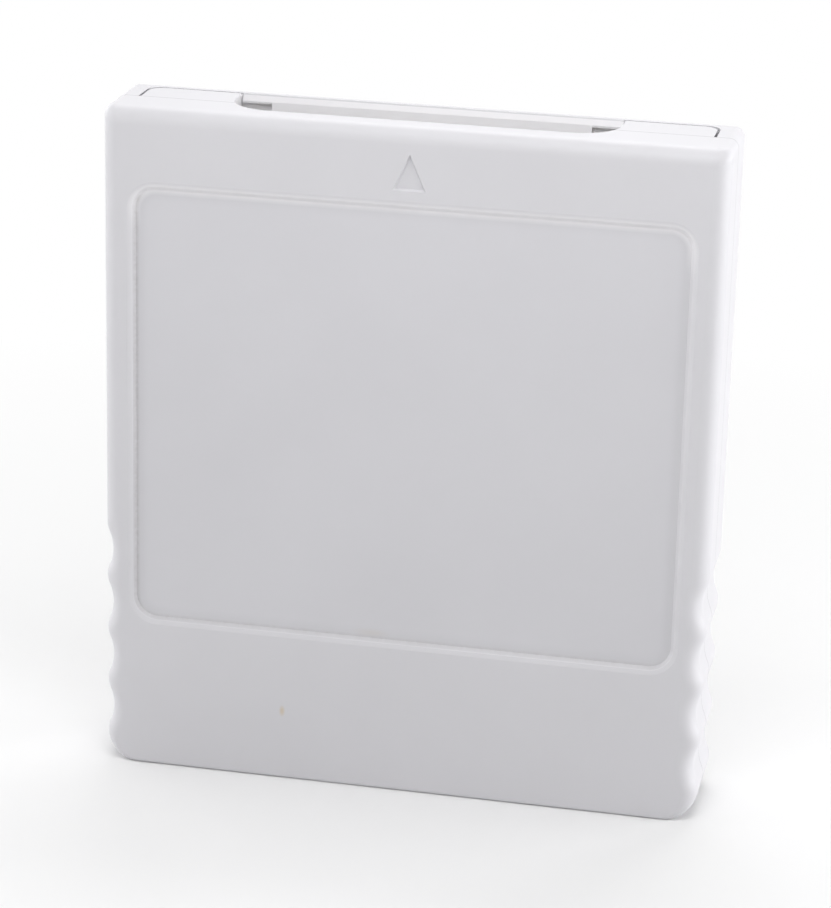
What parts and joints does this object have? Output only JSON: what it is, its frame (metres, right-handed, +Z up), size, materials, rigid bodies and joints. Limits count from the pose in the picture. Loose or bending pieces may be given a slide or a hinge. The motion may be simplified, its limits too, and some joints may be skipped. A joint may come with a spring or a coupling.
{
  "type": "console memory card",
  "caption": "Flat moulded memory card for a game console, with a recessed label panel, wavy side grips and a connector mouth in its top end.",
  "frame": {"origin": "centre of the bottom edge that the card stands on", "axes": "+X to the right seen from the front, +Y from the label front to the plain back, +Z up to the connector mouth"},
  "size_m": [0.043, 0.008, 0.0483],
  "materials": {
    "shell_plastic": "fine matt moulded grey",
    "board_laminate": "green solder mask on glass-epoxy",
    "contact_plating": "gold plated",
    "chip_epoxy": "moulded black epoxy",
    "lead_tin": "tinned",
    "capacitor_ceramic": "fired ceramic with tinned ends",
    "resistor_ceramic": "glazed ceramic with tinned ends",
    "screw_steel": "plated steel"
  },
  "bodies": {
    "root": {"front_shell": "shell_plastic", "rear_shell": "shell_plastic", "circuit_board": "board_laminate", "contact_finger_1": "contact_plating", "contact_finger_2": "contact_plating", "contact_finger_3": "contact_plating", "contact_finger_4": "contact_plating", "contact_finger_5": "contact_plating", "contact_finger_6": "contact_plating", "contact_finger_7": "contact_plating", "contact_finger_8": "contact_plating", "contact_finger_9": "contact_plating", "contact_finger_10": "contact_plating", "contact_finger_11": "contact_plating", "contact_finger_12": "contact_plating", "memory_chip": "chip_epoxy", "memory_chip_leads": "lead_tin", "capacitor_1": "capacitor_ceramic", "capacitor_2": "capacitor_ceramic", "capacitor_3": "capacitor_ceramic", "capacitor_4": "capacitor_ceramic", "resistor_1": "resistor_ceramic", "resistor_2": "resistor_ceramic", "resistor_3": "resistor_ceramic", "resistor_4": "resistor_ceramic", "resistor_5": "resistor_ceramic", "case_screw": "screw_steel"}
  },
  "joints": []
}
